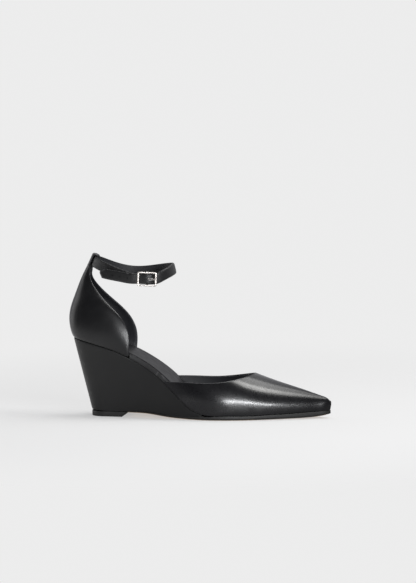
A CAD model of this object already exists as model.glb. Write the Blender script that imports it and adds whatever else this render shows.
"""A wedge shoe with an ankle strap and buckle.

X runs from the heel (-) to the toe (+), Y from the outer (-) to the inner (+) side, Z up from
the ground. Shapes are worked out in millimetres and turned into metres as meshes are made.
"""
import math

import bmesh
import bpy
import numpy as np
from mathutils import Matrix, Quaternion, Vector


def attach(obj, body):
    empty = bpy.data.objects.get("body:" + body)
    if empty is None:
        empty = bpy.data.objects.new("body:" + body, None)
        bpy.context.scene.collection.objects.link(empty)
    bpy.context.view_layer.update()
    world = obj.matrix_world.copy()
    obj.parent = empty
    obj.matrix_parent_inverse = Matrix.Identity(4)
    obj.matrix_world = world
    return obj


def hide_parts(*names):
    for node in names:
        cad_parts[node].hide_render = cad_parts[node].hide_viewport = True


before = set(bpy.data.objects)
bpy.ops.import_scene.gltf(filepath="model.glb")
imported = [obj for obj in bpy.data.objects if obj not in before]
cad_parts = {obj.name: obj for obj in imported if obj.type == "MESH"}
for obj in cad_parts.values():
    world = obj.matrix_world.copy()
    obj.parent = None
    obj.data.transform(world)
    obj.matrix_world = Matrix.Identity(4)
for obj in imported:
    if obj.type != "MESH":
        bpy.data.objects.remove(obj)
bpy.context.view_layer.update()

# --- driving dimensions, mm ---
MM = 0.001
HALF = math.pi / 2
TIP_X = 198.9            # feather line at the toe
HEEL_X = -31.3           # feather line at the back of the heel seat
HEEL_Z = 69.8            # its height there
WAIST_X = 21.1           # front end of the heel part
WAIST_Z = 53.3           # feather line height there
HEEL_HALF_W = 25.4       # widest half width of the heel seat
THROAT_X = 132.5         # middle of the topline
WEDGE_FRONT = 88.5       # front end of the wedge cover
TOP_PIECE_T = 4.7        # top piece thickness
TOP_PIECE_BACK = -14.9   # top piece rear end
TOP_PIECE_FRONT = 19.2   # top piece front end, at its upper edge
UPPER_T = 1.2            # outer leather of the upper
HEEL_T = 0.95            # outer leather of the heel part
LINING_T = 0.8           # upper lining
WEDGE_T = 0.85           # wedge cover
STRAP_HALF_W = 9.2 / 2   # half the strap width
STRAP_T = 1.0            # strap outer leather
STRAP_LINING_T = 0.65    # strap lining
TAIL_L = 44.0            # strap past the buckle bar
BUCKLE_L = 17.4          # buckle length along the strap
BUCKLE_H = 12.7          # buckle height across the strap
BUCKLE_BAR = 1.65        # thickness of the frame, and width of its two ends
BUCKLE_RAIL = 1.25       # width of its upper and lower rails


# --- smooth curves ---
def fit_curve(xs, ys, count):
    """Least-squares cubic B-spline with count controls, held firmly at both ends."""
    xs = np.asarray(xs, float)
    ys = np.asarray(ys, float)
    first, last = xs[0], xs[-1]
    knots = np.concatenate([[first] * 3, np.linspace(first, last, count - 2), [last] * 3])

    def share(x, zero, one):
        return (x - zero) / (one - zero) if one != zero else 0

    def basis(x):
        x = np.clip(np.atleast_1d(np.asarray(x, float)), first, last)
        out = np.zeros((len(x), len(knots) - 1))
        for i in range(len(knots) - 1):
            out[:, i] = (x >= knots[i]) & (x < knots[i + 1])
        out[x >= last, count - 1] = 1
        for degree in (1, 2, 3):
            for i in range(len(knots) - 1 - degree):
                rise = share(x, knots[i], knots[i + degree])
                fall = share(x, knots[i + degree + 1], knots[i + 1])
                out[:, i] = rise * out[:, i] + fall * out[:, i + 1]
        return out[:, :count]

    weight = np.ones(len(xs))
    weight[0] = weight[-1] = 50.0
    controls = np.linalg.lstsq(basis(xs) * weight[:, None], ys * weight, rcond=None)[0]

    def curve(x):
        value = basis(x) @ controls
        return value if np.ndim(x) else float(value[0])
    return curve


def monotone_curve(xs, ys):
    """Monotone cubic through given points, for single values of x."""
    xs = np.asarray(xs, float)
    ys = np.asarray(ys, float)
    step = np.diff(xs)
    rate = np.diff(ys) / step
    tangent = np.zeros(len(xs))
    tangent[0], tangent[-1] = rate[0], rate[-1]
    for i in range(1, len(xs) - 1):
        if rate[i - 1] * rate[i] > 0:
            w1, w2 = 2 * step[i] + step[i - 1], step[i] + 2 * step[i - 1]
            tangent[i] = (w1 + w2) / (w1 / rate[i - 1] + w2 / rate[i])

    def curve(x):
        x = np.clip(x, xs[0], xs[-1])
        i = np.clip(np.searchsorted(xs, x, side="right") - 1, 0, len(xs) - 2)
        t = (x - xs[i]) / step[i]
        return float((1 + 2 * t) * (1 - t) ** 2 * ys[i]
                     + t * (1 - t) ** 2 * step[i] * tangent[i]
                     + t * t * (3 - 2 * t) * ys[i + 1]
                     + t * t * (t - 1) * step[i] * tangent[i + 1])
    return curve


def spline_through(points, end_tangent, count):
    """C2 cubic spline by chord length, with the same tangent at its first and last point."""
    chord = np.linalg.norm(np.diff(points, axis=0), axis=1)
    dist = np.concatenate([[0], np.cumsum(chord)])
    size = len(points)
    system = np.zeros((size, size))
    rhs = np.zeros((size, 3))
    h = np.diff(dist)
    rate = np.diff(points, axis=0) / h[:, None]
    system[0, 0], system[0, 1] = 2 * h[0], h[0]
    rhs[0] = 6 * (rate[0] - end_tangent)
    system[-1, -1], system[-1, -2] = 2 * h[-1], h[-1]
    rhs[-1] = 6 * (end_tangent - rate[-1])
    for i in range(1, size - 1):
        system[i, i - 1:i + 2] = h[i - 1], 2 * (h[i - 1] + h[i]), h[i]
        rhs[i] = 6 * (rate[i] - rate[i - 1])
    bend = np.linalg.solve(system, rhs)
    t = np.linspace(0, dist[-1], count)
    i = np.clip(np.searchsorted(dist, t, side="right") - 1, 0, size - 2)
    after, before, h = (dist[i + 1] - t)[:, None], (t - dist[i])[:, None], h[i][:, None]
    return ((bend[i] * after ** 3 + bend[i + 1] * before ** 3) / (6 * h)
            + (points[i] / h - bend[i] * h / 6) * after
            + (points[i + 1] / h - bend[i + 1] * h / 6) * before)


def ease(x, start, end):
    """0 before start, 1 after end, smooth between."""
    t = np.clip((x - start) / (end - start), 0, 1)
    return t * t * (3 - 2 * t)


def round_off(x, start, end):
    """1 up to start, then a quarter ellipse down to 0 at end."""
    t = np.clip((x - start) / (end - start), 0, 1)
    return np.sqrt(np.maximum(1 - t * t, 0))


# --- measured outlines: x stations, then the value at each ---
# bottom of the last (feather line), also the top of wedge and outsole
feather_z = fit_curve(
    [-31.3, -20, -8.7, 0, 7.6, 14, 21.3, 27.5, 35.3, 43.2, 48.7, 52.9, 57, 61, 65.1, 70, 74.3,
     78, 82, 86, 92, 98, 103, 112, 120, 130, 138.6, 147, 155, 165, 174.5, 182, 190, 198.9],
    [69.8, 67.2, 64.3, 61.8, 59.2, 56.6, 53.3, 50.4, 46.0, 40.9, 36.7, 33.0, 29.0, 25.1, 21.1,
     16.2, 12.3, 9.3, 6.8, 5.2, 4.1, 3.75, 3.65, 3.6, 3.65, 3.8, 4.05, 4.3, 4.6, 5.05, 5.5,
     5.9, 6.3, 6.7], 16)
# underside of the wedge
wedge_z = fit_curve(
    [-20, 0, 10, 19, 26, 34, 43, 54, 65, 77, 86, 92],
    [4.8, 4.8, 4.8, 5.1, 5.55, 5.5, 5.1, 4.1, 3.45, 3.2, 3.5, 3.75], 9)
# underside of the outsole
sole_z = fit_curve(
    [19, 26, 32, 43, 48.7, 54.4, 65.7, 77, 88, 99, 115, 126, 136, 146.5, 157, 167, 177, 184,
     189, 193, 197, 200],
    [4.1, 4.1, 3.95, 3.3, 2.6, 1.8, 1.0, 0.45, 0.1, 0, 0, 0.1, 0.25, 0.4, 0.55, 0.75, 1.0,
     1.3, 1.75, 2.3, 3.2, 4.0], 13)
# half widths of the feather line, by side: -1 outer, +1 inner
FEATHER_X = [21.1, 26, 30, 40, 50, 60, 70, 80, 90, 100, 110, 120, 130, 140, 150, 160, 170, 180,
             188, 193, 198.9]
feather_width = {
    -1: fit_curve(FEATHER_X, [
        25.4, 25.4, 25.6, 26.8, 29.0, 31.6, 34.0, 36.0, 37.3, 37.6, 36.9, 35.2, 32.3, 28.6,
        24.4, 19.9, 15.2, 10.2, 6.1, 3.6, 0.8], 12),
    1: fit_curve(FEATHER_X, [
        25.4, 25.1, 24.6, 23.7, 23.9, 25.5, 28.1, 31.0, 33.5, 35.3, 36.1, 35.7, 34.0, 31.2,
        27.8, 23.9, 19.6, 14.8, 10.3, 7.5, 4.6], 12)}
# half widths of the wedge's underside and of the outsole's waist, by side
FOOT_X = [0, 10, 19, 30, 40, 50, 60, 70, 80, 90]
foot_width = {
    -1: fit_curve(FOOT_X, [17.6, 18.6, 19.6, 21.8, 24.6, 27.7, 30.9, 33.9, 36.3, 37.9], 7),
    1: fit_curve(FOOT_X, [17.6, 18.4, 19.0, 20.0, 21.3, 23.2, 25.9, 28.9, 31.8, 34.2], 7)}
# ridge of the last, carried on behind the throat
ridge_line = fit_curve(
    [50, 57, 70, 80, 90, 100, 110, 118, 125, 132.4, 137, 142, 152.8, 163.6, 174.4, 185.3,
     190.7, 198.9],
    [95, 90, 79, 70.5, 62.5, 55.2, 48.9, 44.6, 41.6, 39.1, 37.1, 35.3, 31.9, 28.6, 25.2, 21.6,
     19.9, 17.2], 10)
# topline of the vamp in side view
topline_z = fit_curve(
    [52.5, 57.1, 69, 80, 90.9, 102, 111.8, 118, 123.3, 127, 129.7, 132.5],
    [33.4, 33.5, 33.7, 33.3, 33.1, 33.6, 34.9, 35.9, 37.0, 37.9, 38.5, 39.1], 7)


def heel_round(x, back=HEEL_X):
    """Relative half width of the heel seat, 0 at its back and 1 at the waist."""
    t = np.clip((WAIST_X - x) / (WAIST_X - back), 0, 1)
    return np.maximum(1 - t ** 3.2, 0) ** (1 / 3.2)


def feather_y(x, side):
    """Y of the feather line."""
    if x < WAIST_X:
        return side * HEEL_HALF_W * heel_round(x)
    centre = 2.0 * ease(x, 60, 190)
    return centre + (side * feather_width[side](x) - centre) * round_off(x, 193, TIP_X)


def foot_y(x, side):
    """Y of the wedge's underside, rounded off behind x = 0."""
    t = np.clip(x / TOP_PIECE_BACK, 0, 1)
    return side * foot_width[side](x) * np.maximum(1 - t ** 2.5, 0) ** (1 / 2.5)


def ridge_z(x):
    return ridge_line(x) - 3.6 * (1 - round_off(x, 194, 198.92))


def layer_z(x, offset):
    """Height of a level offset above the feather surface, measured square to it."""
    slope = feather_z(x + 0.5) - feather_z(x - 0.5)
    return feather_z(x) + offset * math.sqrt(1 + slope * slope)


# --- surface of the vamp ---
def vamp_centre(q):
    return 2.0 * ease(q, 70, 130)


def vamp_power(q):
    """Superellipse power of the cross section."""
    return 2.3 - 0.3 * ease(q, 110, 150)


def vamp_row(q, angles, side):
    """Outer surface at station q, one point per angle from the feather line up."""
    power = vamp_power(q)
    centre = vamp_centre(q)
    edge = feather_y(q, side) + side * (0.5 * round_off(q, 190, TIP_X)
                                        + 0.85 * (1 - ease(q, 55, 74)))
    foot = feather_z(q)
    bulge = 1.0 + (0.035 * np.sin(np.minimum(angles * 2.2, math.pi))
                   * ease(q, 60, 90) * (1 - 0.6 * ease(q, 150, 195)))
    y = centre + (edge - centre) * np.maximum(np.cos(angles), 0) ** (2 / power) * bulge
    z = foot + (ridge_z(q) - foot) * np.sin(angles) ** (2 / (power + 0.1))
    x = q + ease(q, 188, 198.5) * np.sin(2 * angles)
    return np.stack([x, y, z], 1)


def topline_angle(q):
    """Angle at which the topline cuts the station."""
    if q >= THROAT_X:
        return HALF
    foot = feather_z(q)
    rise = (topline_z(q) - foot) / (ridge_z(q) - foot)
    return math.asin(min(1.0, max(rise, 1e-4) ** ((vamp_power(q) + 0.1) / 2)))


# --- surface of the heel part: 15 levels from the feather line up ---
def level_curve(values, count=9):
    return fit_curve(range(15), values, count)


back_x = level_curve([-31.3, -34.1, -35.3, -35.5, -34.9, -33.7, -32.4, -31.0, -29.7, -28.3,
                      -26.9, -25.4, -23.7, -21.7, -20.2])
back_z = level_curve([69.8, 76.5, 83.2, 89.2, 94.5, 99, 103, 107, 111, 114.7, 118.4, 122.2,
                      126.2, 130.1, 132.6])
# both front edges
front_x = level_curve([21.1, 22.0, 22.0, 20.8, 17.7, 13.2, 8.0, 2.4, -3.2, -8.6, -13.0, -15.8,
                       -16.3, -15.2, -14.2])
front_y = level_curve([25.4, 26.1, 26.3, 25.8, 24.9, 23.8, 22.3, 20.2, 17.3, 13.9, 10.4, 8.2,
                       7.4, 7.1, 7.0])
front_z = level_curve([53.3, 62, 70, 77.8, 84.8, 91, 96.5, 101.8, 107.2, 112.8, 118.2, 123.2,
                       127.4, 131.0, 133.2])
heel_power = level_curve([3.2, 3.1, 3.0, 2.9, 2.8, 2.7, 2.6, 2.5, 2.35, 2.25, 2.1, 2.05, 2.0,
                          2.0, 2.0], 6)
# from the outer front edge round the back to the inner one
HEEL_ANGLES = np.radians(np.linspace(-90, 90, 91))


def heel_row(t):
    """Outer surface of the heel part at level t."""
    power = heel_power(t)
    cos, sin = np.maximum(np.cos(HEEL_ANGLES), 0.0), np.sin(HEEL_ANGLES)
    length = front_x(t) - back_x(t)
    x = front_x(t) - length * cos ** (2 / power)
    y = front_y(t) * np.sign(sin) * np.abs(sin) ** (2 / power)
    along = (x - back_x(t)) / length
    z = back_z(t) + (front_z(t) - back_z(t)) * along
    pinch = 0.055 * ease(t, 0.4, 2.5) * (1 - ease(t, 8, 11))
    y = y * (1 - pinch * np.clip((along - 0.72) / 0.28, 0, 1) ** 2)
    if t < 5:
        # bend the straight lowest levels onto the feather line
        straight = HEEL_Z + (WAIST_Z - HEEL_Z) * along
        bent = feather_z(HEEL_X + along * (WAIST_X - HEEL_X))
        z = z + (bent - straight) * (1 - t / 5) ** 2
    return np.stack([x, y, z], 1)


def outward_normals(grid):
    """Unit normals of a grid that wraps round the back of the heel."""
    normals = np.cross(np.gradient(grid, axis=0), np.gradient(grid, axis=1))
    normals = normals / np.linalg.norm(normals, axis=2)[:, :, None]
    return -normals if np.sum(normals[:, grid.shape[1] // 2, 0]) > 0 else normals


def heel_grid(first, last, count):
    """Levels, surface points and outward normals."""
    levels = np.linspace(first, last, count)
    grid = np.array([heel_row(t) for t in levels])
    return levels, grid, outward_normals(grid)


# --- path of the strap ---
# buckle axes: u along the strap to the front, n outward, w up across the strap
YAW, PITCH = math.radians(5.0), math.radians(-2.0)
BUCKLE_AT = np.array([38.4, -27.6, 125.1])
BUCKLE_U = np.array([math.cos(YAW) * math.cos(PITCH), math.sin(YAW) * math.cos(PITCH),
                     math.sin(PITCH)])
BUCKLE_N = np.array([math.sin(YAW), -math.cos(YAW), 0.0])
BUCKLE_W = np.cross(BUCKLE_N, BUCKLE_U)


def buckle_point(u, w=0.0, n=0.0):
    return BUCKLE_AT + BUCKLE_U * u + BUCKLE_W * w + BUCKLE_N * n


# from the buckle bar backwards round the heel neck, along the inner side,
# across the front and back to the buckle
LOOP_POINTS = np.array([
    buckle_point(0), buckle_point(-7), buckle_point(-13),
    (16.0, -26.6, 128.0), (6.0, -22.7, 131.2), (-2.5, -17.6, 134.1), (-9.2, -11.9, 136.6),
    (-13.4, -6.3, 138.2), (-15.0, 0, 138.8), (-13.4, 6.3, 138.0), (-9.2, 11.9, 135.9),
    (-2.5, 17.6, 132.6), (6.0, 22.7, 129.3), (15.5, 26.0, 127.2), (25.5, 26.8, 126.9),
    (35.5, 25.4, 128.0), (45.0, 21.4, 129.7), (53.2, 14.2, 131.3), (58.1, 5.0, 132.3),
    (59.6, -4.6, 132.2), (58.0, -13.4, 130.9), (54.6, -20.2, 129.0), (50.6, -24.5, 126.9),
    buckle_point(7.2) + np.array([0.0, 0.05, 0.15]), buckle_point(3.6), buckle_point(0)])
LOOP = spline_through(LOOP_POINTS, -BUCKLE_U, 1400)
LOOP_DIST = np.concatenate([[0], np.cumsum(np.linalg.norm(np.diff(LOOP, axis=0), axis=1))])
LOOP_L = LOOP_DIST[-1]
BACK_S = float(LOOP_DIST[int(np.argmin(LOOP[:, 0]))])   # rearmost point of the loop
END_S = LOOP_L + TAIL_L
# lean of the strap in degrees, by distance along the loop
loop_lean = monotone_curve(
    [0, 12, 40, 58, 67, 76, 95, 120, 150, 170, 182, LOOP_L - 16, LOOP_L - 9, LOOP_L],
    [0, 0, 10, 20, 24, 20, 9, 3, 9, 14, 11, 2, 0, 0])
# offset of the outer leather's middle, by distance past the buckle bar
tail_offset = monotone_curve(
    [-22, -16, -12, -8.3, -7, -6, -5, -4, -2, 0, 2, 4, 6, 8.3, 11, 14, 20, 30, 40, 47],
    [0, 0, 0.05, 0.3, 0.65, 1.4, 2.2, 2.9, 3.45, 3.6, 3.35, 2.8, 2.25, 1.85, 1.80, 1.85, 1.95,
     2.1, 2.4, 2.7])


def loop_at(s):
    return np.array([np.interp(s, LOOP_DIST, LOOP[:, axis]) for axis in range(3)])


def loop_frame(s):
    """Point, tangent, outward normal and width direction at distance s along the loop."""
    u = -s if s < LOOP_L / 2 else LOOP_L - s
    straight = (buckle_point(u), -BUCKLE_U, BUCKLE_N, BUCKLE_W)
    curved = float(ease(abs(u), 5.5, 9.5))
    if curved <= 0:
        return straight
    point = loop_at(s)
    tangent = loop_at(s + 0.8) - loop_at(s - 0.8)
    tangent = tangent / np.linalg.norm(tangent)
    level = np.array([tangent[1], -tangent[0], 0.0])
    level = level / np.linalg.norm(level)
    if level @ (point - np.array([22.0, 0, point[2]])) < 0:
        level = -level
    across = np.cross(level, tangent)
    across = across if across[2] > 0 else -across
    across = across / np.linalg.norm(across)
    lean = math.radians(loop_lean(s))
    normal = level * math.cos(lean) + across * math.sin(lean)
    across = -level * math.sin(lean) + across * math.cos(lean)
    if curved == 1:
        return point, tangent, normal, across
    # blend into the straight piece that carries the buckle
    point, *axes = (a * curved + b * (1 - curved)
                    for a, b in zip((point, tangent, normal, across), straight))
    return (point, *(a / np.linalg.norm(a) for a in axes))


def strap_point(s, offset, w, drop=0.0):
    """Point offset outward and w across the strap; s past LOOP_L is on the tail."""
    point, _, normal, across = loop_frame(s if s <= LOOP_L else s - LOOP_L)
    return point + normal * offset + across * (w - drop)


def tail_drop(s):
    """How far the tail hangs below the strap it lies on."""
    past = s - LOOP_L
    return 0.0 if past < 10 else 5.4 * ease(past, 8, 52) ** 0.9


def strap_offset(s):
    if s < 2.2:
        return 1.25
    if s < 9:
        return 1.25 * (1 - ease(s, 0.5, 9.0))
    if s > LOOP_L - 21:
        return tail_offset(s - LOOP_L)
    return 0.0


def strap_half_width(s, end):
    """Half width, tapering over the last few millimetres before end."""
    return STRAP_HALF_W * min(1.0, 0.10 + 0.95 * np.clip((end - s) / 4.6, 0, 1))


# --- mesh helpers ---
def raw_mesh(name, verts, faces):
    mesh = bpy.data.meshes.new(name)
    mesh.from_pydata([tuple(float(c) * MM for c in v) for v in verts], [],
                     [tuple(f) for f in faces])
    return mesh


def link_object(name, data):
    ob = bpy.data.objects.new(name, data)
    bpy.context.scene.collection.objects.link(ob)
    return ob


def shade_smooth(mesh):
    for face in mesh.polygons:
        face.use_smooth = True


def new_mesh(name, verts, faces, mat, slot, replaces=(), body="root", merge=0.0):
    """Smooth object with one material, made known to the frame; merge is a distance in mm."""
    mesh = raw_mesh(name, verts, faces)
    mesh.validate()
    bm = bmesh.new()
    bm.from_mesh(mesh)
    if merge:
        bmesh.ops.remove_doubles(bm, verts=bm.verts, dist=merge * MM)
        bmesh.ops.dissolve_degenerate(bm, dist=1e-7, edges=bm.edges)
    bmesh.ops.recalc_face_normals(bm, faces=bm.faces)
    bm.to_mesh(mesh)
    bm.free()
    shade_smooth(mesh)
    ob = link_object(name, mesh)
    mesh.materials.append(mat)
    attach(ob, body)
    if replaces:
        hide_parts(*replaces)
    return ob


def grid_faces(rows, cols, base=0, wrap_cols=False, wrap_rows=False, flip=False):
    faces = []
    for i in range(rows if wrap_rows else rows - 1):
        for j in range(cols if wrap_cols else cols - 1):
            i2, j2 = (i + 1) % rows, (j + 1) % cols
            quad = tuple(base + r * cols + c for r, c in ((i, j), (i, j2), (i2, j2), (i2, j)))
            faces.append(quad[::-1] if flip else quad)
    return faces


def orient(ob, point, outward):
    """Flip all faces if the one nearest the point looks the wrong way."""
    point = Vector(point) * MM
    nearest = min(ob.data.polygons, key=lambda face: (face.center - point).length)
    if nearest.normal.dot(Vector(outward)) < 0:
        ob.data.flip_normals()


def subdivide(ob):
    sub = ob.modifiers.new("sub", "SUBSURF")
    sub.levels = sub.render_levels = 1
    return sub


def thicken(ob, thickness):
    """Give the surface a thickness inwards and subdivide it."""
    thick = ob.modifiers.new("thick", "SOLIDIFY")
    thick.thickness = thickness * MM
    thick.offset = -1.0
    thick.use_even_offset = True
    thick.use_quality_normals = True
    thick.thickness_clamp = 0.0
    subdivide(ob).boundary_smooth = "PRESERVE_CORNERS"


def back_sheet(name, grid, mat, slot, replaces, probe, thickness):
    """Thick sheet from a grid that wraps round the back, where the probe point lies."""
    ob = new_mesh(name, grid.reshape(-1, 3), grid_faces(*grid.shape[:2]), mat, slot, replaces)
    orient(ob, probe, (-1, 0, 0))
    thicken(ob, thickness)


def bake(ob):
    """Apply the modifiers."""
    evaluated = ob.evaluated_get(bpy.context.evaluated_depsgraph_get())
    mesh = bpy.data.meshes.new_from_object(evaluated)
    mats = list(ob.data.materials)
    ob.modifiers.clear()
    old = ob.data
    ob.data = mesh
    if not mesh.materials:
        for mat in mats:
            mesh.materials.append(mat)
    bpy.data.meshes.remove(old)
    shade_smooth(mesh)


def cut(ob, verts, faces):
    """Take a closed shape out of the object."""
    mesh = raw_mesh("cut", verts, faces)
    bm = bmesh.new()
    bm.from_mesh(mesh)
    bmesh.ops.recalc_face_normals(bm, faces=bm.faces)
    bm.to_mesh(mesh)
    bm.free()
    tool = link_object("cut", mesh)
    boolean = ob.modifiers.new("cut", "BOOLEAN")
    boolean.operation = "DIFFERENCE"
    boolean.solver = "EXACT"
    boolean.object = tool
    bake(ob)
    bpy.data.objects.remove(tool)
    bpy.data.meshes.remove(mesh)


def turn(count):
    """Angles evenly round a circle."""
    return np.linspace(0, 2 * math.pi, count, endpoint=False)


def rounded_box(half_w, half_h, radius, steps=4):
    """Rounded rectangle as a closed loop of (a, b)."""
    radius = min(radius, half_w, half_h)
    a, b = half_w - radius, half_h - radius
    points = []
    for x, y, start in ((a, b, 0), (-a, b, 90), (-a, -b, 180), (a, -b, 270)):
        for i in range(steps + 1):
            angle = math.radians(start + 90 * i / steps)
            points.append((x + radius * math.cos(angle), y + radius * math.sin(angle)))
    return points


def sweep(rings, closed=False):
    """Points and faces of a tube through rings of equal size, capped unless closed."""
    rows, cols = len(rings), len(rings[0])
    verts = [point for ring in rings for point in ring]
    faces = grid_faces(rows, cols, wrap_cols=True, wrap_rows=closed)
    if not closed:
        faces.append(tuple(range(cols))[::-1])
        faces.append(tuple(range((rows - 1) * cols, rows * cols)))
    return verts, faces


def join_parts(parts):
    verts, faces = [], []
    for part_verts, part_faces in parts:
        base = len(verts)
        verts += part_verts
        faces += [tuple(i + base for i in face) for face in part_faces]
    return verts, faces


# --- materials ---
class Graph:
    """Shader nodes of a material or world, built up from its output."""

    def __init__(self, owner, output):
        owner.use_nodes = True
        self.tree = owner.node_tree
        self.tree.nodes.clear()
        self.out = self.node(output)

    def node(self, kind):
        return self.tree.nodes.new(kind)

    def feed(self, socket, value):
        """Link a socket, or set its plain value."""
        if isinstance(value, bpy.types.NodeSocket):
            self.tree.links.new(value, socket)
        else:
            socket.default_value = value

    def maprange(self, source, from_min, from_max, to_min, to_max, smooth=False):
        x = self.node("ShaderNodeMapRange")
        if smooth:
            x.interpolation_type = "SMOOTHSTEP"
        for i, value in enumerate((source, from_min, from_max, to_min, to_max)):
            self.feed(x.inputs[i], value)
        return x.outputs[0]

    def split(self, vector):
        x = self.node("ShaderNodeSeparateXYZ")
        self.feed(x.inputs[0], vector)
        return x.outputs


class Surface(Graph):
    """A new material on object coordinates."""

    def __init__(self, name, principled=True):
        self.mat = bpy.data.materials.new(name)
        super().__init__(self.mat, "ShaderNodeOutputMaterial")
        if principled:
            self.bsdf = self.node("ShaderNodeBsdfPrincipled")
            self.feed(self.out.inputs[0], self.bsdf.outputs[0])
        coords = self.node("ShaderNodeTexCoord")
        self.obj = coords.outputs["Object"]
        self.normal = coords.outputs["Normal"]

    def set(self, key, value):
        self.feed(self.bsdf.inputs[key], value)

    def noise(self, scale, detail=4.0, rough=0.55, vec=None):
        x = self.node("ShaderNodeTexNoise")
        x.inputs["Scale"].default_value = scale
        x.inputs["Detail"].default_value = detail
        x.inputs["Roughness"].default_value = rough
        self.feed(x.inputs["Vector"], vec or self.obj)
        return x.outputs[0]

    def cell_edges(self, scale):
        x = self.node("ShaderNodeTexVoronoi")
        x.feature = "DISTANCE_TO_EDGE"
        x.inputs["Scale"].default_value = scale
        self.feed(x.inputs["Vector"], self.obj)
        return x.outputs["Distance"]

    def mapping(self, scale):
        x = self.node("ShaderNodeMapping")
        x.inputs["Scale"].default_value = scale
        self.feed(x.inputs[0], self.obj)
        return x.outputs[0]

    def ramp(self, source, black, white):
        x = self.node("ShaderNodeValToRGB")
        x.color_ramp.elements[0].position = black
        x.color_ramp.elements[1].position = white
        self.feed(x.inputs[0], source)
        return x.outputs[0]

    def math(self, operation, a, b):
        x = self.node("ShaderNodeMath")
        x.operation = operation
        self.feed(x.inputs[0], a)
        self.feed(x.inputs[1], b)
        return x.outputs[0]

    def mix(self, factor, a, b):
        """Mix two colours, each a socket or (r, g, b)."""
        x = self.node("ShaderNodeMix")
        x.data_type = "RGBA"
        self.feed(x.inputs[0], factor)
        for i, colour in ((6, a), (7, b)):
            self.feed(x.inputs[i], colour + (1,) if isinstance(colour, tuple) else colour)
        return x.outputs[2]

    def spread(self, noise, low, high):
        """Stretch the middle of a noise over low to high."""
        return self.maprange(noise, 0.3, 0.7, low, high)

    def blotch(self, noise, a, b):
        """Mix two colours by a noise."""
        return self.mix(self.spread(noise, 0, 1), a, b)

    def bump(self, height, distance, strength=1.0, below=None):
        x = self.node("ShaderNodeBump")
        x.inputs["Strength"].default_value = strength
        x.inputs["Distance"].default_value = distance
        self.feed(x.inputs["Height"], height)
        if below is not None:
            self.feed(x.inputs["Normal"], below)
        return x.outputs[0]


def leather(name, dark, light, rough, grain, bump, coat, coat_rough, sheen=0.0, spec=0.5,
            fade=None):
    """Grained leather with paler edges; fade is an x range (m) over which its gloss drops."""
    g = Surface(name)
    broad = g.noise(28, detail=3.0)
    mid = g.noise(150)
    cells = g.cell_edges(grain)
    pores = g.noise(grain * 1.8, detail=2.0)
    colour = g.mix(g.spread(broad, 0.0, 0.65), dark, light)
    geometry = g.node("ShaderNodeNewGeometry")
    edge = g.ramp(geometry.outputs["Pointiness"], black=0.52, white=0.60)
    pale = tuple(min(1.0, c * 3.2 + 0.012) for c in light)
    g.set("Base Color", g.mix(g.math("MULTIPLY", edge, 0.5), colour, pale))
    g.set("Roughness", g.spread(mid, *rough))
    if fade:
        # full gloss on the toe and close to the ground, less towards the heel
        x, _, z = g.split(g.obj)
        low = g.maprange(z, 0.017, 0.028, 1.0, 0.0)
        gloss = g.math("MAXIMUM", g.maprange(x, 0.104, 0.128, 0.40, 1.0), low)
        for key, full, share in (("Coat Weight", coat, 0.15), ("Specular IOR Level", spec, 0.65)):
            g.set(key, g.math("MULTIPLY", gloss, g.maprange(x, *fade, full, full * share)))
    else:
        g.set("Specular IOR Level", spec)
        g.set("Coat Weight", coat)
    g.set("Coat Roughness", coat_rough)
    if sheen:
        g.set("Sheen Weight", sheen)
        g.set("Sheen Roughness", 0.45)
    height = g.math("ADD", g.ramp(cells, black=0.0, white=0.22), g.math("MULTIPLY", pores, 0.5))
    fine = g.bump(height, bump)
    relief = g.bump(mid, bump * 1.2, strength=0.5, below=fine)
    g.set("Normal", relief)
    g.set("Coat Normal", relief)
    return g.mat


def plain(name, dark, light, rough, scale=300.0, metallic=0.0, bump=0.00002):
    """Evenly mottled material for the inner parts."""
    g = Surface(name)
    g.set("Base Color", g.blotch(g.noise(scale, detail=5.0), dark, light))
    g.set("Roughness", g.spread(g.noise(scale * 2.3, detail=3.0), *rough))
    g.set("Metallic", metallic)
    g.set("Normal", g.bump(g.noise(scale * 4, detail=3.0), bump))
    return g.mat


def buckle_metal():
    g = Surface("buckle_metal")
    fine = g.noise(900, detail=3.0)
    g.set("Base Color", g.blotch(g.noise(160, detail=3.0), (0.76, 0.71, 0.67),
                                 (0.86, 0.82, 0.78)))
    g.set("Metallic", 0.85)
    g.set("Roughness", g.spread(fine, 0.33, 0.42))
    g.set("Normal", g.bump(g.noise(2500, detail=2.0), 0.000002))
    return g.mat


def top_piece_rubber():
    g = Surface("top_piece_rubber")
    fine = g.noise(1800)
    g.set("Base Color", g.blotch(g.noise(90, detail=3.0), (0.014, 0.014, 0.0138),
                                 (0.022, 0.0215, 0.021)))
    g.set("Roughness", g.spread(fine, 0.5, 0.68))
    g.set("Normal", g.bump(fine, 0.00003))
    return g.mat


def sole_leatherboard():
    """Black painted edge, tan underside with fine scuffs."""
    g = Surface("sole_leatherboard")
    downward = g.math("MULTIPLY", g.split(g.normal)[2], -1.0)
    under = g.ramp(downward, black=0.55, white=0.8)
    scuff = g.noise(6.0, detail=6.0, rough=0.7, vec=g.mapping((60, 420, 60)))
    tan = g.mix(g.maprange(scuff, 0.35, 0.7, 0, 1), (0.36, 0.235, 0.13), (0.47, 0.33, 0.20))
    edge = g.blotch(g.noise(500, detail=3.0), (0.010, 0.0098, 0.0098), (0.018, 0.0175, 0.017))
    g.set("Base Color", g.mix(under, edge, tan))
    g.set("Roughness", g.spread(scuff, 0.38, 0.6))
    g.set("Normal", g.bump(g.noise(1400), 0.00003))
    return g.mat


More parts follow.
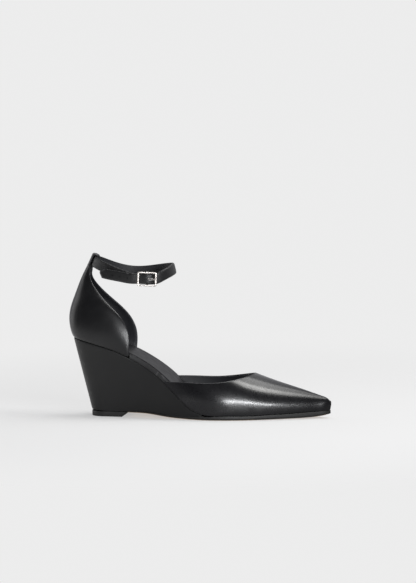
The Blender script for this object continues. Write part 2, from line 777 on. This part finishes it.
UPPER = leather(
    "smooth_black_leather", (0.0070, 0.0070, 0.0082), (0.0115, 0.0113, 0.0130),
    rough=(0.25, 0.31), grain=2100, bump=0.0000018, coat=0.46, coat_rough=0.15,
    fade=(0.140, 0.185))
QUARTER = leather(
    "heel_black_leather", (0.0058, 0.0058, 0.0066), (0.0098, 0.0098, 0.0108),
    rough=(0.32, 0.40), grain=2100, bump=0.0000022, coat=0.20, coat_rough=0.20, spec=0.46)
WEDGE = leather(
    "satin_wedge_leather", (0.0110, 0.0110, 0.0113), (0.0140, 0.0140, 0.0143),
    rough=(0.40, 0.47), grain=2200, bump=0.000005, coat=0.0, coat_rough=0.4, spec=0.40)
STRAP = leather(
    "strap_leather", (0.0130, 0.0130, 0.0138), (0.0205, 0.0203, 0.0214),
    rough=(0.36, 0.46), grain=1500, bump=0.000010, coat=0.10, coat_rough=0.28, spec=0.45)
LINING = leather(
    "lining_leather", (0.0120, 0.0125, 0.0150), (0.0210, 0.0220, 0.0265),
    rough=(0.42, 0.55), grain=1300, bump=0.000012, coat=0.0, coat_rough=0.4, sheen=0.15)
WRAP = leather(
    "waist_wrap_leather", (0.0210, 0.0210, 0.0220), (0.0300, 0.0300, 0.0312),
    rough=(0.48, 0.56), grain=1500, bump=0.000006, coat=0.0, coat_rough=0.25)
SOCK = leather(
    "sock_leather", (0.0080, 0.0080, 0.0090), (0.0130, 0.0130, 0.0145),
    rough=(0.36, 0.46), grain=1500, bump=0.000006, coat=0.0, coat_rough=0.2, spec=0.22)
THREAD = leather(
    "waxed_thread", (0.02, 0.02, 0.021), (0.035, 0.035, 0.036),
    rough=(0.4, 0.55), grain=3000, bump=0.00002, coat=0.1, coat_rough=0.3)
METAL = buckle_metal()
RUBBER = top_piece_rubber()
SOLE = sole_leatherboard()
CORE = plain("moulded_core", (0.012, 0.012, 0.012), (0.02, 0.02, 0.02), rough=(0.5, 0.65))
BOARD = plain("fibre_board", (0.018, 0.016, 0.014), (0.034, 0.030, 0.026), rough=(0.75, 0.9),
              scale=700)
STEEL = plain("plain_steel", (0.42, 0.42, 0.43), (0.58, 0.58, 0.58), rough=(0.25, 0.4),
              scale=900, metallic=1.0)
FOAM = plain("foam_sheet", (0.030, 0.030, 0.031), (0.045, 0.045, 0.046), rough=(0.85, 0.95),
             scale=1500, bump=0.0001)
FILLER = plain("felt_filler", (0.24, 0.20, 0.15), (0.36, 0.31, 0.24), rough=(0.85, 0.95),
               scale=1200, bump=0.0001)
STIFF = plain("stiffener_sheet", (0.58, 0.55, 0.48), (0.70, 0.67, 0.60), rough=(0.5, 0.65),
              scale=500)

INNER_PARTS = {
    "wedge_core": CORE, "insole_board": BOARD, "steel_shank": STEEL, "shank_rivets": STEEL,
    "heel_screw": STEEL, "heel_nails": STEEL, "top_piece_pins": STEEL, "sock_foam": FOAM,
    "bottom_filler": FILLER, "toe_puff": STIFF, "heel_counter": STIFF}
for part, mat in INNER_PARTS.items():
    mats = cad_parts[part].data.materials
    mats.clear()
    mats.append(mat)


# --- vamp ---
def vamp_grids(q0, q1, top_share, nose, foot_share, edge_roll):
    """Outer and inner half of the vamp, rows from the waist to the toe."""
    stations = [
        *np.linspace(q0, 112, 26),
        *[THROAT_X - (THROAT_X - 112) * (1 - k) ** 1.8 for k in np.linspace(0, 1, 16)[1:]],
        *[THROAT_X + 13.5 * k ** 1.5 for k in np.linspace(0, 1, 11)[1:]],
        *np.linspace(146, 186, 22)[1:],
        188, 189.8, 191.5, 193, 194.3, 195.4, 196.3, 197.0, 197.6, 198.1, 198.45]
    shares = np.linspace(0, 1, 30)
    shares = 0.55 * shares + 0.45 * (1 - (1 - shares) ** 1.6)
    shares = foot_share + (1 - foot_share) * shares
    halves = []
    for side in (-1, 1):
        rows = []
        for q in stations:
            if q > q1:
                break
            open_top = q < THROAT_X
            row = vamp_row(q, shares * topline_angle(q) * (top_share if open_top else 1.0), side)
            if edge_roll:
                if open_top:
                    roll = edge_roll * ease(q, 54, 60)
                    roll *= 1 - ease(q, THROAT_X - 9, THROAT_X - 1)
                    row[-1, 1] -= side * roll
                    row[-2, 1] -= side * 0.28 * roll
                row[0, 1] -= side * 0.42 * (1 - ease(q, 184, 194))
            if not open_top:
                row[-1, 1] = vamp_centre(q)
            rows.append(row)
        if nose:
            # close the toe with rows that draw in to its centre line
            last, centre = rows[-1], 2.0
            for angle in np.radians((25, 48, 68, 90)):
                row = last.copy()
                row[:, 1] = centre + (last[:, 1] - centre) * math.cos(angle)
                row[:, 0] = last[:, 0] + 0.75 * math.sin(angle)
                row[-1, 1] = centre
                rows.append(row)
        halves.append(np.array(rows))
    return halves


def vamp_mesh(name, mat, slot, replaces, q0, q1, thickness, depth=0.0, top_share=1.0,
              foot_share=0.0, edge_roll=0.0, nose=False):
    """Sheet lying depth inside the vamp's outer surface."""
    outer, inner = vamp_grids(q0, q1, top_share, nose, foot_share, edge_roll)
    rows, cols = outer.shape[:2]
    faces = grid_faces(rows, cols) + grid_faces(rows, cols, rows * cols, flip=True)
    ob = new_mesh(name, [*outer.reshape(-1, 3), *inner.reshape(-1, 3)], faces, mat, slot,
                  replaces, merge=0.02)
    orient(ob, (160, 0, 30), (0, 0, 1))
    if depth:
        bm = bmesh.new()
        bm.from_mesh(ob.data)
        bm.normal_update()
        for v in bm.verts:
            v.co -= v.normal * depth * MM
        bm.to_mesh(ob.data)
        bm.free()
    thicken(ob, thickness)


vamp_mesh("vamp_leather", UPPER, "black_leather", ("vamp_upper",), q0=53.3, q1=199,
          thickness=UPPER_T, edge_roll=0.8, nose=True)
vamp_mesh("vamp_inside", LINING, "lining_leather", ("vamp_lining",), q0=54.2, q1=196.5,
          thickness=LINING_T, depth=UPPER_T + 0.06, top_share=0.985, foot_share=0.03)

# --- heel part, with the loop that carries the strap ---
TAB_OUT, TAB_IN = 2.35, -2.95   # offsets of the loop's outer and inner layer
TAB_H = 6.25                    # half height of the loop
HEEL_PROBE = (-35, 0, 90)


def tab_row(offset, w, reach):
    """Row of the loop's leather, reaching to both sides of the middle of the back."""
    return np.array([strap_point(BACK_S + reach * math.sin(a), offset, w)
                     for a in HEEL_ANGLES])


levels, heel, normals = heel_grid(0.02, 12.3, 54)
# tuck in the lower edge and both front edges
heel[0] -= normals[0] * 0.45
heel[1] -= normals[1] * 0.08
free_edge = (ease(levels, 1.0, 4.0) * (1 - ease(levels, 10.5, 12.0)))[:, None]
for column, tuck in ((0, 0.5), (1, 0.16), (2, 0.03)):
    for j in (column, -1 - column):
        heel[:, j] -= normals[:, j] * tuck * free_edge
rows = list(heel)
tab_foot = tab_row(TAB_OUT, -TAB_H + 1.0, 6.2)
for t in np.linspace(12.45, 14.1, 11):
    blend = ease(t, 12.2, 14.2)
    rows.append((1 - blend) * heel_row(min(t, 13.9)) + blend * tab_foot)
# up the outer layer, over the top and down the inner layer
for w in np.linspace(-TAB_H + 1.6, TAB_H - 1.5, 9):
    rows.append(tab_row(TAB_OUT, w, 6.3 - 0.7 * ease(w, -3.0, TAB_H)))
for angle in np.radians(np.linspace(12, 168, 11)):
    cos, sin = math.cos(angle), math.sin(angle)
    offset = ((TAB_OUT + TAB_IN) / 2
              + (TAB_OUT - TAB_IN) / 2 * math.copysign(abs(cos) ** 0.55, cos))
    rows.append(tab_row(offset, TAB_H - 1.5 + 1.5 * abs(sin) ** 0.55, 5.6))
for w in np.linspace(TAB_H - 1.6, -TAB_H + 0.6, 8):
    rows.append(tab_row(TAB_IN, w, 5.6))
back_sheet("heel_leather", np.array(rows), QUARTER, "black_leather",
           ("heel_quarter", "strap_carrier"), HEEL_PROBE, HEEL_T)

# the lining, lying deeper where the heel counter is
levels, lining, normals = heel_grid(0.03, 12.3, 36)
counter = ((1 - ease(levels, 6.0, 9.5))[:, None]
           * (1 - ease(np.abs(HEEL_ANGLES) / HALF, 0.80, 0.97)))
lining = lining - normals * (UPPER_T + 0.10 + 1.15 * counter)[:, :, None]
back_sheet("heel_inside", lining, LINING, "lining_leather", ("quarter_lining",), HEEL_PROBE,
           LINING_T)

# stitches across the foot of the loop: share of the length, radius, lift
STITCH = ((0.0, 0.05, -0.05), (0.08, 0.15, 0.02), (0.3, 0.19, 0.07), (0.5, 0.2, 0.08),
          (0.7, 0.19, 0.07), (0.92, 0.15, 0.02), (1.0, 0.05, -0.05))


def tab_foot_point(sine):
    """Point of the loop's foot row where the row angle has this sine."""
    place = (math.degrees(math.asin(sine)) + 90) / 180 * (len(HEEL_ANGLES) - 1)
    i = int(place)
    return tab_foot[i] * (1 - place + i) + tab_foot[i + 1] * (place - i)


normal = loop_frame(BACK_S)[2]
upward = np.array([0, 0, 1.0])
parts = []
for middle in np.linspace(-0.82, 0.82, 9):
    start, end = tab_foot_point(middle - 0.055), tab_foot_point(middle + 0.055)
    parts.append(sweep([
        [start + (end - start) * share + normal * lift
         + (normal * math.cos(a) + upward * math.sin(a)) * radius for a in turn(8)]
        for share, radius, lift in STITCH]))
new_mesh("loop_stitches", *join_parts(parts), THREAD, "black_leather")

# --- wedge cover ---
edges = {-1: [], 1: []}   # upper and lower end of each column, from the back forwards
for u in np.linspace(0.0, 1.0, 110):
    bend = 0.55 ** 1.9
    k = u ** 1.9 if u < 0.55 else bend + (u - 0.55) * (1 - bend) / 0.45
    top_x = HEEL_X + (WEDGE_FRONT - HEEL_X) * k
    foot_x = TOP_PIECE_BACK + (WEDGE_FRONT - TOP_PIECE_BACK) * k
    for side in (-1, 1):
        edges[side].append(((top_x, feather_y(top_x, side), feather_z(top_x)),
                            (foot_x, foot_y(foot_x, side), wedge_z(foot_x))))
columns = np.array(edges[-1][::-1] + edges[1][1:])
top, foot = columns[:, 0], columns[:, 1]
cover = np.array([top + (foot - top) * k for k in np.linspace(0, 1, 26)])
normals = outward_normals(cover)
# an extra row close to the upper edge, which is tucked in
cover = np.concatenate([cover[:1], cover[:1] + (cover[1:2] - cover[:1]) * 0.22, cover[1:]], 0)
cover[0] -= normals[0] * 0.42
cover[1] -= normals[0] * 0.04
back_sheet("wedge_leather", cover, WEDGE, "wedge_leather", ("wedge_cover",), (-24, 0, 38),
           WEDGE_T)

# --- top piece ---
xs = [TOP_PIECE_BACK * math.cos(t) for t in np.linspace(0.0, HALF, 22)]
xs += list(np.linspace(0, TOP_PIECE_FRONT, 14))[1:]
outer = [(x, foot_y(x, -1)) for x in xs]
inner = [(x, foot_y(x, 1)) for x in xs[:0:-1]]
(x0, y0), (x1, y1) = outer[-1], inner[0]
front = [(x0 + (x1 - x0) * k / 8, y0 + (y1 - y0) * k / 8) for k in range(1, 8)]
LOWER_FRONT = 14.4   # front end at the lower edge
rings = []
# height and inset of each ring
for z, inset in ((0.0, 2.2), (0.0, 0.55), (0.12, 0.2), (0.45, 0.0), (2.3, 0.0), (4.2, 0.0),
                 (4.55, 0.12), (4.68, 0.4), (4.68, 2.4)):
    front_limit = LOWER_FRONT + (TOP_PIECE_FRONT - LOWER_FRONT) * z / TOP_PIECE_T - inset
    rings.append([(min(x + (inset * min(1.0, -x / 8.0) if x < 0 else 0), front_limit),
                   y * (1 - inset / 18.0) if abs(y) > 1 else y, z)
                  for x, y in outer + front + inner])
top_piece = new_mesh("heel_tip_rubber", *sweep(rings), RUBBER, "top_piece",
                     ("heel_top_piece",), merge=0.002)


# --- outsole ---
def sole_ring(x):
    if x <= WEDGE_FRONT:
        outer, inner = foot_y(x, -1), foot_y(x, 1)
        top = wedge_z(x) - 0.04
    else:
        # leave the wedge's outline for one just outside the feather line
        margin = ease(x, WEDGE_FRONT, 100) * 0.6
        edge_x = x if x <= 190 else 190 + (x - 190) * (TIP_X - 190) / 9.6
        wedge = 1 - ease(x, WEDGE_FRONT, WEDGE_FRONT + 14)
        outer, inner = (
            feather_y(edge_x, side) + side * margin
            + wedge * (foot_y(WEDGE_FRONT, side) - feather_y(WEDGE_FRONT, side))
            for side in (-1, 1))
        top = feather_z(x) - 0.05 + wedge * (wedge_z(WEDGE_FRONT) - feather_z(WEDGE_FRONT))
    base = max(sole_z(x), 0.0)
    height = top - base
    bevel = min(0.45, height * 0.3)
    width = inner - outer
    if width >= 6:
        ys = [outer + 0.55, outer + 2.0, *[outer + width * k for k in (0.2, 0.35, 0.5, 0.65, 0.8)],
              inner - 2.0, inner - 0.55]
    elif width > 1.2:
        ys = [outer + 0.5 + (width - 1.0) * k for k in np.linspace(0, 1, 9)]
    else:
        ys = [outer + width * (0.3 + 0.4 * k) for k in np.linspace(0, 1, 9)]
    ring = [(y, base) for y in ys]
    ring += [(inner - 0.12, base + bevel), (inner, base + 0.5 * height),
             (inner - 0.20, top - 0.25 * bevel), (inner - 0.45, top)]
    ring += [(inner - 0.35 - (width - 0.7) * k, top) for k in (0.25, 0.5, 0.75)]
    ring += [(outer + 0.45, top), (outer + 0.20, top - 0.25 * bevel),
             (outer, base + 0.45 * height), (outer + 0.12, base + bevel)]
    return [(x, y, z) for y, z in ring]


xs = [*np.linspace(TOP_PIECE_FRONT + 0.3, WEDGE_FRONT, 48),
      *np.linspace(WEDGE_FRONT + 0.8, 190, 74),
      *[199.5 - 9.5 * (1 - math.sin(t)) for t in np.linspace(0.06, 1.5, 20)]]
sole = new_mesh("sole", *sweep([sole_ring(x) for x in xs]), SOLE, "sole", ("outsole",))

# --- waist wrap: a strip along each side of the waist ---
xs = [*np.linspace(21.25, 22.6, 7), *np.linspace(23.1, 52.2, 56), *np.linspace(52.5, 54.0, 7),
      *np.linspace(54.5, 61.0, 12)]
parts = []
for side in (-1, 1):
    rings = []
    for x in xs:
        rear = 1 - ease(x, 21.7, 22.15)
        y = feather_y(x, side) - side * (1.35 * rear + ease(x, 50.0, 61.0))
        thick = 1.3 - 0.6 * rear
        # sideways offset and level above the feather surface
        section = (
            (0.0, 0.35), (0.05, 0.9), (0.07, 1.5), (0.03, 2.1), (-0.06, 2.7),
            (-0.17 * thick, 3.3), (-0.34 * thick, 3.75), (-0.58 * thick, 4.02),
            (-thick, 4.06), (-thick, 0.2), (-0.3 * thick, 0.08))
        ring = [(x, y + side * dy, layer_z(x, level)) for dy, level in section]
        rings.append(ring[::-side])
    parts.append(sweep(rings))
wrap = new_mesh("waist_wrap", *join_parts(parts), WRAP, "wedge_leather", ("insole_wrap",))
subdivide(wrap)

# --- sock ---
SOCK_TOE_X = 186   # where the rounded toe end starts


def sock_ring(x):
    if x < 40:
        inset = 3.7 - 3.0 * ease(x, 19.6, 22.8)
    else:
        inset = 0.7 + 2.7 * ease(x, 51.4, 72.0) + 1.1 * ease(x, 154, 160)
    if x < WAIST_X:
        inner = (HEEL_HALF_W - inset) * heel_round(x, HEEL_X + inset)
        outer = -inner
    else:
        outer, inner = (feather_y(min(x, SOCK_TOE_X), side) - side * inset for side in (-1, 1))
    if x > SOCK_TOE_X:
        k = (x - SOCK_TOE_X) / 6.6
        outer, inner = (2.0 + (y - 2.0) * math.sqrt(max(1 - k * k, 0.01))
                        for y in (outer, inner))
    width = inner - outer
    dish = 0.28 * min(1.0, width / 30.0)
    # y and level above the feather surface
    ring = [(outer + 0.02, 4.30), (outer + 0.10, 4.58), (outer + 0.38, 4.72)]
    ring += [(outer + width * k, 4.75 - dish * math.sin(math.pi * k))
             for k in np.linspace(0.06, 0.94, 17)]
    ring += [(inner - 0.38, 4.72), (inner - 0.10, 4.58), (inner - 0.02, 4.30),
             (inner - 0.12, 4.08), (inner - 0.6, 4.06), (outer + 0.6, 4.06),
             (outer + 0.12, 4.08)]
    return [(x, y, layer_z(x, level)) for y, level in ring]


xs = [HEEL_X + 3.75 + 24 * (1 - math.cos(t)) for t in np.linspace(0.12, HALF, 20)]
xs += [*np.linspace(xs[-1] + 1.2, SOCK_TOE_X, 120),
       *[SOCK_TOE_X + 6.4 * math.sin(t) for t in np.linspace(0.2, 1.45, 9)]]
sock = new_mesh("sock_sheet", *sweep([sock_ring(x) for x in xs]), SOCK, "sock_leather",
                ("sock_lining",))


# --- strap ---
def band_section(half_w, thick):
    """Rounded flat section with extra points along the broad faces."""
    corners = rounded_box(half_w, thick / 2, thick * 0.42, 3)
    section = []
    for a, b in zip(corners, corners[1:] + corners[:1]):
        section.append(a)
        if abs(a[0] - b[0]) > half_w:
            section += [(a[0] + (b[0] - a[0]) * k, a[1] + (b[1] - a[1]) * k)
                        for k in (0.05, 0.10, 0.17, 0.3, 0.5, 0.7, 0.83, 0.90, 0.95)]
    return section


def strap_ring(s, offset, thick, half_w, crown=0.12):
    """Section at distance s, its outer face crowned and falling off at the edges."""
    ring = []
    for w, v in band_section(half_w, thick):
        if v > 0:
            v += crown * (1 - (w / half_w) ** 2)
            v -= 0.42 * max(0.0, (abs(w) - (half_w - 1.5)) / 1.5) ** 2
        ring.append(strap_point(s, offset + v, w, tail_drop(s)))
    return ring


def fold_ring(middle, tangent):
    """Section of the fold round the bar, at (u, n) in the buckle's axes."""
    (u, n), (du, dn) = middle, tangent / math.hypot(*tangent)
    return np.array([buckle_point(u + dn * v, w, n - du * v)
                     for w, v in band_section(STRAP_HALF_W, STRAP_T)])


def reorder(ring, step, shift):
    return np.roll(ring[::step], -shift, axis=0)


fold_path = np.array(
    [(-10.0, -1.05), (-8, -1.07), (-6, -1.12), (-4, -1.2), (-2, -1.28)]
    + [(1.3 * math.cos(a), 1.3 * math.sin(a)) for a in np.radians(np.linspace(-90, 90, 17))])
fold = [fold_ring(*pair) for pair in zip(fold_path, np.gradient(fold_path, axis=0))]
stations = [*np.arange(1.6, 24, 0.8), *np.arange(24.5, LOOP_L - 24, 1.2),
            *np.arange(LOOP_L - 23.5, LOOP_L + 12, 0.6),
            *np.arange(LOOP_L + 12.8, END_S - 5.0, 1.0), *np.linspace(END_S - 4.6, END_S, 9)]
run = [strap_ring(s, strap_offset(s), STRAP_T, strap_half_width(s, END_S)) for s in stations]
# turn the fold's rings so that the last one meets the first of the run point by point
order = min(((step, shift) for step in (1, -1) for shift in range(len(run[0]))),
            key=lambda trial: np.sum((reorder(fold[-1], *trial) - np.array(run[0])) ** 2))
fold = [reorder(ring, *order) for ring in fold]
strap = new_mesh("strap_leather_band", *sweep(fold + run), STRAP, "black_leather",
                 ("ankle_strap",), body="ankle_strap")

LINING_END = END_S + 1.5
lining_depth = STRAP_T / 2 + 0.06 + STRAP_LINING_T / 2
rings = [strap_ring(s, strap_offset(s) - lining_depth, STRAP_LINING_T,
                    strap_half_width(s, LINING_END) + 0.04, crown=0.0)
         for s in [s for s in stations if s > 12.0] + [END_S + 0.8, LINING_END]]
strap_lining = new_mesh("strap_inside_band", *sweep(rings), LINING, "lining_leather",
                        ("ankle_strap_lining",), body="ankle_strap")


def tail_hole(past):
    """Round cutter through the tail only."""
    centre = strap_point(LOOP_L + past, 0, 0, tail_drop(LOOP_L + past))
    _, tangent, normal, across = loop_frame(past)
    return sweep([[centre + normal * height
                   + (tangent * math.cos(a) + across * math.sin(a)) * 0.6 for a in turn(20)]
                  for height in (0.4, 5.6)])


def slot_cutter(u0, u1, radius, n0, n1):
    """Cutter for a round-ended slot along u, from n0 to n1."""
    return sweep([[buckle_point(u + radius * math.cos(a), radius * math.sin(a), n)
                   for u, start in ((u1 - radius, -90), (u0 + radius, 90))
                   for a in np.radians(np.linspace(start, start + 180, 9))]
                  for n in (n0, n1)])


tail_cuts = [tail_hole(past) for past in (17.0, 24.0, 31.0)]
tail_cuts.append(slot_cutter(0.9, 6.0, 0.95, 0.9, 4.6))
fold_cut = slot_cutter(-3.4, 4.0, 1.15, -2.4, 1.95)
for ob, cutters in ((strap, tail_cuts + [fold_cut]), (strap_lining, tail_cuts)):
    for cutter in cutters:
        cut(ob, *cutter)

# --- buckle frame, with an ear at each end of the bar ---
TILT = math.atan2(0.9, BUCKLE_L - BUCKLE_BAR)
MID_U, MID_W = (BUCKLE_L - BUCKLE_BAR) / 2, (BUCKLE_H - BUCKLE_RAIL) / 2
CORNER_R = 1.0


def frame_point(u, w, n):
    return buckle_point(u * math.cos(TILT) + n * math.sin(TILT), w,
                        3.25 - u * math.sin(TILT) + n * math.cos(TILT))


corners = np.array(rounded_box(MID_U, MID_W, CORNER_R, 6))
normals = corners - np.array(rounded_box(MID_U - CORNER_R, MID_W - CORNER_R, 0, 6))
line = np.hstack([corners, normals / CORNER_R])   # u, w and the outward direction there
path = []
for a, b in zip(line, np.roll(line, -1, axis=0)):
    path.append(a)
    if math.hypot(*(a - b)[:2]) > 2:
        path += [a + (b - a) * k for k in np.linspace(0, 1, 10)[1:-1]]
rings = []
for u, w, du, dw in path:
    length = math.hypot(du, dw)
    du, dw = du / length, dw / length
    half_w = 0.5 * (BUCKLE_BAR * abs(du) + BUCKLE_RAIL * abs(dw)) / (abs(du) + abs(dw))
    rings.append([frame_point(u + du * a, w + dw * a, b)
                  for a, b in rounded_box(half_w, BUCKLE_BAR / 2, 0.42)])
parts = [sweep(rings, closed=True)]
# offset and scale of the ear's sections
EAR = ((-1.12, 0.72), (-1.0, 0.92), (-0.8, 1.0), (0.0, 1.0), (1.2, 1.0), (2.5, 1.0), (2.9, 1.0))
for side in (-1, 1):
    parts.append(sweep([[buckle_point(a * scale, side * MID_W + b * scale, n)
                         for a, b in rounded_box(1.2, 0.6, 0.35)] for n, scale in EAR]))
buckle_frame = new_mesh("buckle_ring", *join_parts(parts), METAL, "buckle", ("buckle_frame",),
                        body="buckle")

# --- buckle bar: place across the strap and radius ---
BAR = ((-6.25, 0.45), (-6.17, 0.62), (-6.0, 0.72), (-3, 0.72), (0, 0.72), (3, 0.72),
       (6.0, 0.72), (6.17, 0.62), (6.25, 0.45))
rings = [[buckle_point(r * math.cos(a), w, r * math.sin(a)) for a in turn(20)] for w, r in BAR]
buckle_bar = new_mesh("buckle_axle", *sweep(rings), METAL, "buckle", ("buckle_bar",),
                      body="buckle")

# --- prong: an eye round the bar and a pin that bends slightly at its tip ---
PRONG_ANGLE = math.radians(31.5)
BEND_AT = 8.75   # distance of the bend from the bar
# distances from the bar, then from the bend, and the radius at each
PIN = ((1.5, 0.66), (3.0, 0.62), (4.5, 0.6), (6.0, 0.6), (7.2, 0.6), (8.1, 0.6))
PIN_TIP = ((0.0, 0.6), (0.25, 0.6), (0.5, 0.58), (0.75, 0.52), (0.95, 0.42), (1.08, 0.3),
           (1.16, 0.14))


def ray(distance, angle):
    return distance * np.array([math.cos(angle), math.sin(angle)])


eye = [[buckle_point((1.32 + x) * math.cos(a), y, (1.32 + x) * math.sin(a))
        for x, y in rounded_box(0.5, 0.74, 0.34, 3)] for a in turn(28)]
path = np.array([ray(d, PRONG_ANGLE) for d, _ in PIN]
                + [ray(BEND_AT, PRONG_ANGLE) + ray(d, PRONG_ANGLE - 0.25) for d, _ in PIN_TIP])
rings = []
for (u, n), (du, dn), (_, r) in zip(path, np.gradient(path, axis=0), PIN + PIN_TIP):
    length = math.hypot(du, dn)
    rings.append([buckle_point(u - dn / length * r * math.cos(a), r * 1.12 * math.sin(a),
                               n + du / length * r * math.cos(a)) for a in turn(16)])
prong = new_mesh("buckle_pin", *join_parts([sweep(eye, closed=True), sweep(rings)]), METAL,
                 "buckle", ("buckle_prong",), body="prong")

# split the shading at sharp edges
for ob in (top_piece, sole, sock, strap, strap_lining, buckle_frame, buckle_bar, prong):
    ob.data.set_sharp_from_angle(angle=math.radians(48))


# --- floor ---
def pale_floor():
    """Half lit, half glowing near the shoe, all glow further off, then fading out."""
    g = Surface("pale_floor", principled=False)
    diffuse = g.node("ShaderNodeBsdfDiffuse")
    reflected = g.node("ShaderNodeLightPath").outputs["Is Glossy Ray"]
    white = g.blotch(g.noise(3.0, detail=2.0), (0.905,) * 3, (0.92,) * 3)
    x = g.split(g.obj)[0]

    def seen_in_gloss(behind, ahead):
        """Grey seen in reflections: one behind the heel, darker from there forwards."""
        return g.mix(g.maprange(x, -0.15, -0.07, 0, 1), (behind,) * 3, (ahead,) * 3)

    g.feed(diffuse.inputs[0], g.mix(reflected, white, seen_in_gloss(0.9, 0.32)))
    glow = g.node("ShaderNodeEmission")
    g.feed(glow.inputs[0], g.mix(reflected, (0.843,) * 3, seen_in_gloss(0.84, 0.27)))
    body = g.node("ShaderNodeMixShader")
    clear = g.node("ShaderNodeBsdfTransparent")
    fade = g.node("ShaderNodeMixShader")
    radius = g.node("ShaderNodeVectorMath")
    radius.operation = "LENGTH"
    g.feed(radius.inputs[0], g.mapping((1.0, 0.75, 1.0)))
    distance = radius.outputs["Value"]
    g.feed(fade.inputs[0], g.maprange(distance, 0.30, 1.1, 1.0, 0.0, smooth=True))
    g.feed(body.inputs[0], g.maprange(distance, 0.16, 0.50, 0.5, 1.0, smooth=True))
    g.feed(body.inputs[1], diffuse.outputs[0])
    g.feed(body.inputs[2], glow.outputs[0])
    g.feed(fade.inputs[1], clear.outputs[0])
    g.feed(fade.inputs[2], body.outputs[0])
    g.feed(g.out.inputs[0], fade.outputs[0])
    return g.mat


floor_mesh = bpy.data.meshes.new("floor")
bm = bmesh.new()
bmesh.ops.create_grid(bm, x_segments=8, y_segments=8, size=3.0)
bm.to_mesh(floor_mesh)
bm.free()
floor = link_object("floor", floor_mesh)
floor.location = (0.08, 0.02, -0.0002)
floor_mesh.materials.append(pale_floor())

# --- world: pale to the camera; as a light, stronger towards the inner side ---
AMBIENT = 0.07
BACK_LIGHT = 0.55
world = bpy.data.worlds.new("studio")
bpy.context.scene.world = world
g = Graph(world, "ShaderNodeOutputWorld")


def background(colour, strength):
    x = g.node("ShaderNodeBackground")
    x.inputs[0].default_value = colour
    x.inputs[1].default_value = strength
    return x


lighting = background((0.80, 0.80, 0.83, 1), AMBIENT)
backdrop = background((0.843, 0.843, 0.843, 1), 1.0)
mixer = g.node("ShaderNodeMixShader")
y = g.split(g.node("ShaderNodeTexCoord").outputs["Generated"])[1]
g.feed(lighting.inputs[1], g.maprange(y, 0.05, 0.6, AMBIENT, BACK_LIGHT, smooth=True))
g.feed(mixer.inputs[0], g.node("ShaderNodeLightPath").outputs["Is Camera Ray"])
g.feed(mixer.inputs[1], lighting.outputs[0])
g.feed(mixer.inputs[2], backdrop.outputs[0])
g.feed(g.out.inputs[0], mixer.outputs[0])

# --- lights, in metres ---
SHOE_MIDDLE = Vector((0.085, 0.0, 0.06))
FOREFOOT = Vector((0.130, 0.0, 0.03))


def soft_box(name, azimuth, elevation, distance, width, height, radiance, colour=(1, 1, 1),
             target=SHOE_MIDDLE, roll=0.0):
    """Area light seen from the target at azimuth (0 = outer side, 90 = toe) and elevation."""
    a, e = math.radians(azimuth), math.radians(elevation)
    direction = Vector((math.sin(a) * math.cos(e), -math.cos(a) * math.cos(e), math.sin(e)))
    place = target + direction * distance
    data = bpy.data.lights.new(name, "AREA")
    data.shape = "RECTANGLE"
    data.size, data.size_y = width, height
    data.energy = radiance * math.pi * width * height
    data.color = colour
    light = link_object(name, data)
    light.location = place
    aim = (target - place).to_track_quat("-Z", "Y")
    light.rotation_euler = aim.to_euler()
    if roll:
        light.rotation_mode = "QUATERNION"
        light.rotation_quaternion = aim @ Quaternion((0, 0, 1), math.radians(roll))


soft_box("top", azimuth=185, elevation=78, distance=2.2, width=1.2, height=1.0, radiance=3.7)
soft_box("sheen", azimuth=86, elevation=63, distance=1.0, width=0.30, height=0.30,
         radiance=7.6, colour=(1.0, 0.995, 0.975), target=FOREFOOT)
soft_box("wide", azimuth=128, elevation=58, distance=1.2, width=0.75, height=0.60,
         radiance=2.3, colour=(1.0, 0.995, 0.98), target=FOREFOOT)
soft_box("front", azimuth=25, elevation=11.5, distance=1.4, width=0.95, height=0.10,
         radiance=42.0, colour=(0.97, 0.98, 1.0), roll=20)
soft_box("left", azimuth=-100, elevation=12, distance=1.3, width=0.7, height=1.0, radiance=1.2)

# --- camera, far off on the outer side ---
CAM_RIGHT = Vector((0.9895, 0.1444, 0.0))
CAM_UP = Vector((-0.0141, 0.0966, 0.9952))
TO_CAMERA = Vector((0.1437, -0.9848, 0.0976)).normalized()
AIM_RIGHT, AIM_UP = 88.29175, 109.9955   # middle of the view from the origin, mm
VIEW_W = 521.785                         # width of the view at the shoe, mm
CAM_DISTANCE = 12.0                      # m
SENSOR_W = 36.0
cam_data = bpy.data.cameras.new("cam")
cam = link_object("cam", cam_data)
target = CAM_RIGHT * (AIM_RIGHT * MM) + CAM_UP * (AIM_UP * MM)
cam.location = target + TO_CAMERA * CAM_DISTANCE
cam.rotation_euler = (-TO_CAMERA).to_track_quat("-Z", "Y").to_euler()
cam_data.sensor_fit = "AUTO"
cam_data.sensor_width = SENSOR_W
cam_data.lens = SENSOR_W * CAM_DISTANCE / (VIEW_W * MM)
cam_data.clip_end = 50
scene = bpy.context.scene
scene.camera = cam
scene.view_settings.view_transform = "Standard"
scene.view_settings.look = "None"

bpy.context.view_layer.update()
